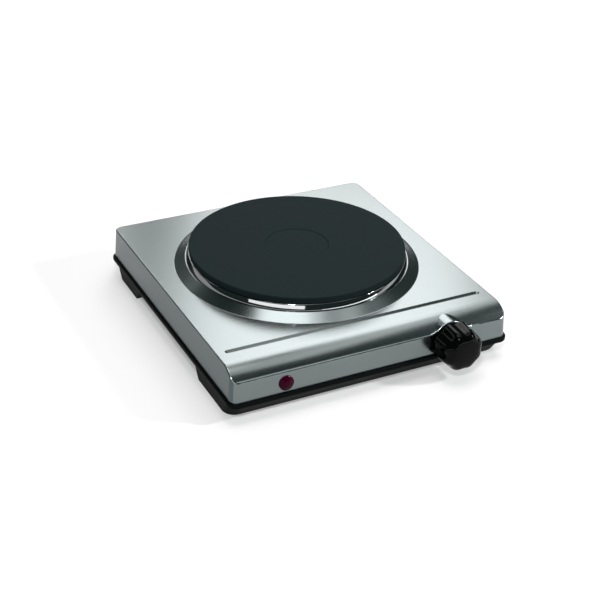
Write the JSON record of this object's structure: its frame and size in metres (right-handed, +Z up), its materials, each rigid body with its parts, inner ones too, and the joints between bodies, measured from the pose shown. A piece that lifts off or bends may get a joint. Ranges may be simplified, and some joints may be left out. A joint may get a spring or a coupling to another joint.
{
  "type": "hot plate burner",
  "caption": "Free-standing electric hot plate burner: a round cast-iron plate on a stainless steel box, with a turning thermostat knob and a pilot lamp on its front.",
  "frame": {"origin": "on the table, under the middle of the burner's bounding box", "axes": "+Z up; the front with the knob faces -Y; +X to the right as seen from the front"},
  "size_m": [0.252, 0.2886, 0.0613],
  "materials": {
    "housing_steel": "satin stainless steel",
    "polished_steel": "polished stainless steel",
    "cast_iron": "matte black coating",
    "black_plastic": "satin moulded",
    "knob_plastic": "gloss moulded",
    "lens_red": "clear tinted",
    "black_rubber": "matte",
    "ceramic": "unglazed steatite",
    "brass": "plain",
    "white_plastic": "moulded",
    "lamp_glass": "clear",
    "coil_wire": "resistance wire",
    "zinc_steel": "zinc plated"
  },
  "bodies": {
    "burner": {"base_screws": "zinc_steel", "base_tray": "black_plastic", "bracket_screws": "zinc_steel", "cable_bush": "black_rubber", "centre_stud": "zinc_steel", "clamp_bridge": "zinc_steel", "clamp_nut": "zinc_steel", "clamp_washer": "zinc_steel", "cover_nut": "zinc_steel", "earth_screw": "zinc_steel", "foot_pad_fl": "black_rubber", "foot_pad_fr": "black_rubber", "foot_pad_rl": "black_rubber", "foot_pad_rr": "black_rubber", "foot_screws": "zinc_steel", "front_foot": "black_plastic", "heat_shield": "zinc_steel", "heating_coil_inner": "coil_wire", "heating_coil_outer": "coil_wire", "hot_plate": "cast_iron", "housing_bracket_fl": "zinc_steel", "housing_bracket_fr": "zinc_steel", "housing_bracket_rl": "zinc_steel", "housing_bracket_rr": "zinc_steel", "indicator_lens": "lens_red", "insulating_compound": "ceramic", "lens_clip": "zinc_steel", "mains_strip": "white_plastic", "neon_lamp": "lamp_glass", "plate_cover": "zinc_steel", "plate_terminal_block": "ceramic", "plate_terminals": "brass", "rear_foot": "black_plastic", "shield_screws": "zinc_steel", "spill_ring": "polished_steel", "strip_screws": "zinc_steel", "strip_terminals": "brass", "thermostat_body": "ceramic", "thermostat_bracket": "zinc_steel", "thermostat_screws": "zinc_steel", "thermostat_tabs": "brass", "top_housing": "housing_steel"},
    "knob_and_shaft": {"knob": "knob_plastic", "knob_clip": "zinc_steel", "thermostat_shaft": "zinc_steel"}
  },
  "joints": [
    {"name": "knob_turn", "type": "hinge", "parent": "burner", "child": "knob_and_shaft", "pos_m": [0.0695, -0.12225, 0.0279], "axis": [0, 1, 0], "range_deg": [0, 270]}
  ]
}
